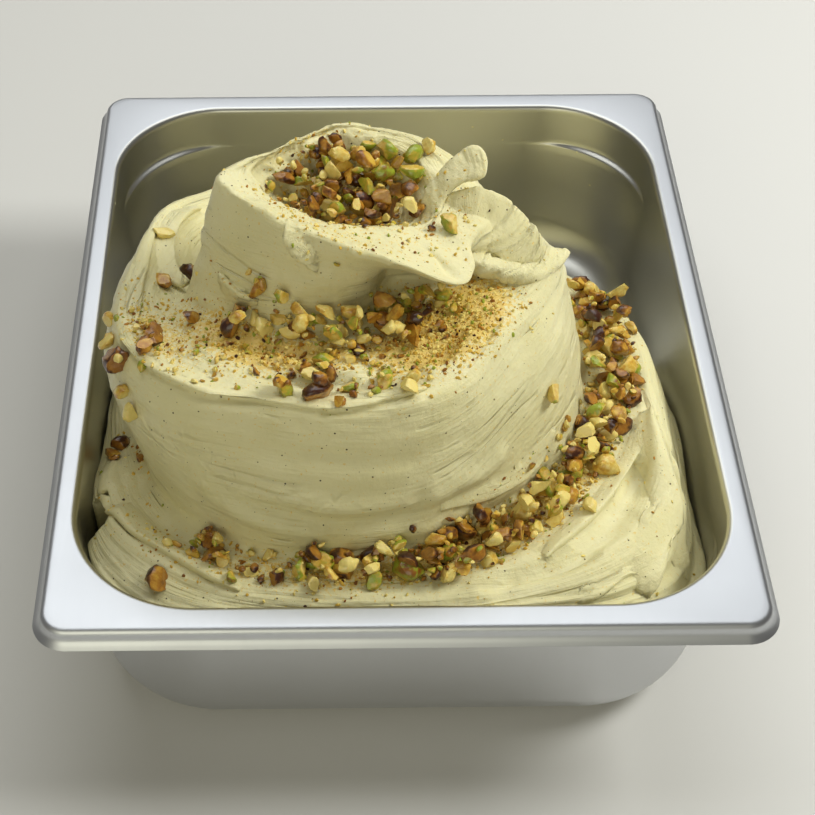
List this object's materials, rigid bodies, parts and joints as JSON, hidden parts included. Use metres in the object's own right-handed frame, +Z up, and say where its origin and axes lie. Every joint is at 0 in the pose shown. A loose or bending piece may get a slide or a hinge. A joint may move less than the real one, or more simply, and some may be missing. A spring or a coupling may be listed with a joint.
{
  "type": "gelato display pan filled with pistachio gelato",
  "caption": "Deep half-size steel display pan filled with swirled pistachio gelato, topped with chopped pistachios; rests on its flat floor or hangs by its rim.",
  "frame": {"origin": "centre of the pan's underside, on the surface it stands on", "axes": "+X across the pan, +Y along the pan away from the picture's camera, +Z up"},
  "size_m": [0.265, 0.325, 0.1802],
  "materials": {
    "satin_steel": "pressed stainless sheet, satin brushed rim, duller walls",
    "pistachio_gelato": "frozen cream, soft satin with spatula streaks; the nuts fused to it are brown, green and yellow"
  },
  "bodies": {
    "root": {"steel_pan": "satin_steel", "gelato": "pistachio_gelato"}
  },
  "joints": []
}
